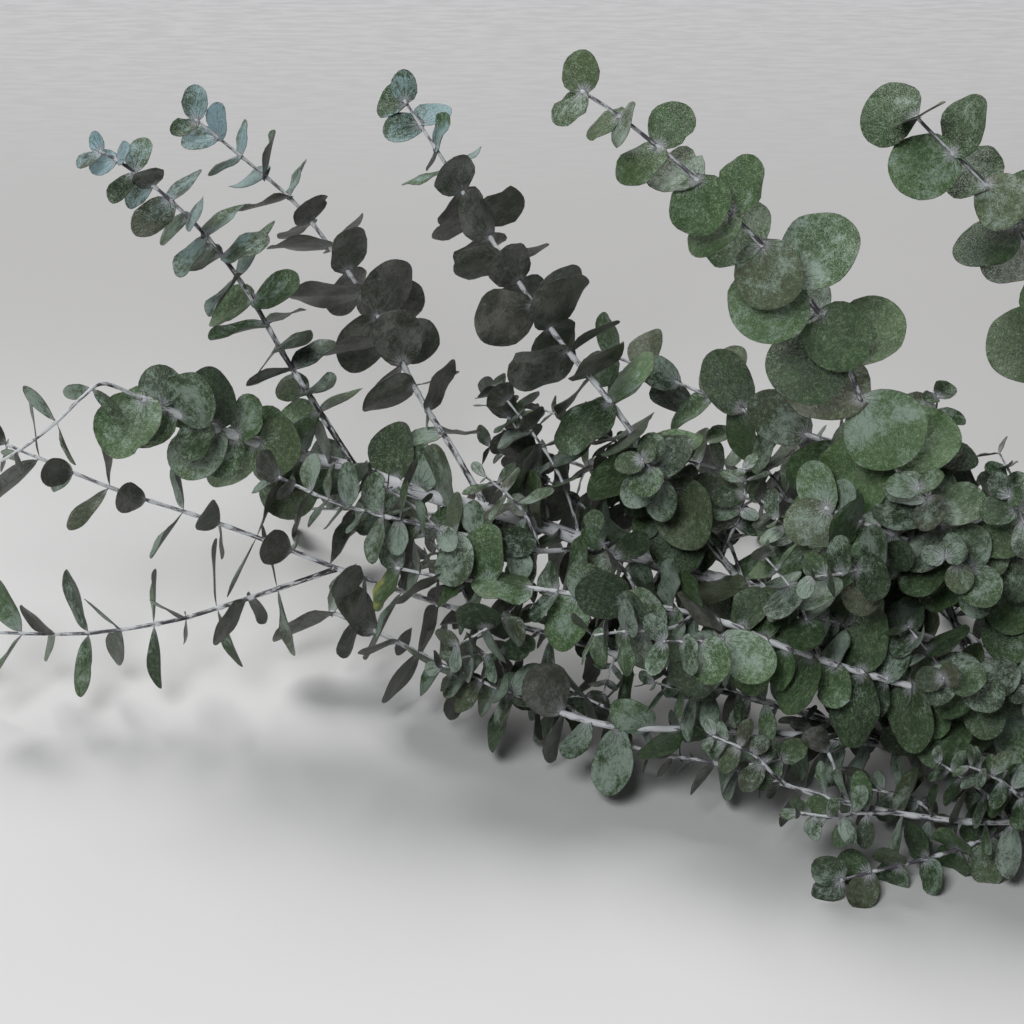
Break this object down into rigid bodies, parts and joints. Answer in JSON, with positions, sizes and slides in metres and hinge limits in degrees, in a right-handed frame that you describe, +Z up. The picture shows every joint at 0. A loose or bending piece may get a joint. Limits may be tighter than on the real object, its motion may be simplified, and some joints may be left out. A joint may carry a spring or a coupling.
{
  "type": "eucalyptus branch",
  "caption": "Leafy eucalyptus branch lying down: slender shoots with round grey-green leaves in crossed pairs fan out from a bare cut stem.",
  "frame": {"origin": "under the middle of the branch, on the surface that it lies on", "axes": "+X along the branch towards its cut end, +Y towards the back, +Z up"},
  "size_m": [0.8146, 0.44, 0.41],
  "materials": {
    "foliage": "matt grey-green leaves with a pale waxy bloom",
    "bark": "rough pale grey bark with dark rubbed patches"
  },
  "bodies": {
    "root": {"trunk": "bark", "leader": "foliage", "leader_end": "foliage", "upper_shoot_1": "foliage", "upper_shoot_2": "foliage", "upper_shoot_3": "foliage", "upper_shoot_4": "foliage", "upper_shoot_5": "foliage", "upper_side_shoot": "foliage", "left_shoot": "foliage", "left_side_shoot": "foliage", "low_shoot": "foliage", "front_shoot": "foliage", "front_side_shoot": "foliage", "middle_front_shoot": "foliage", "right_front_shoot": "foliage", "right_back_shoot": "foliage", "leader_front_shoot": "foliage", "leader_back_shoot_1": "foliage", "leader_back_shoot_2": "foliage", "leader_back_shoot_3": "foliage", "back_shoot_1": "foliage", "back_shoot_2": "foliage"}
  },
  "joints": []
}
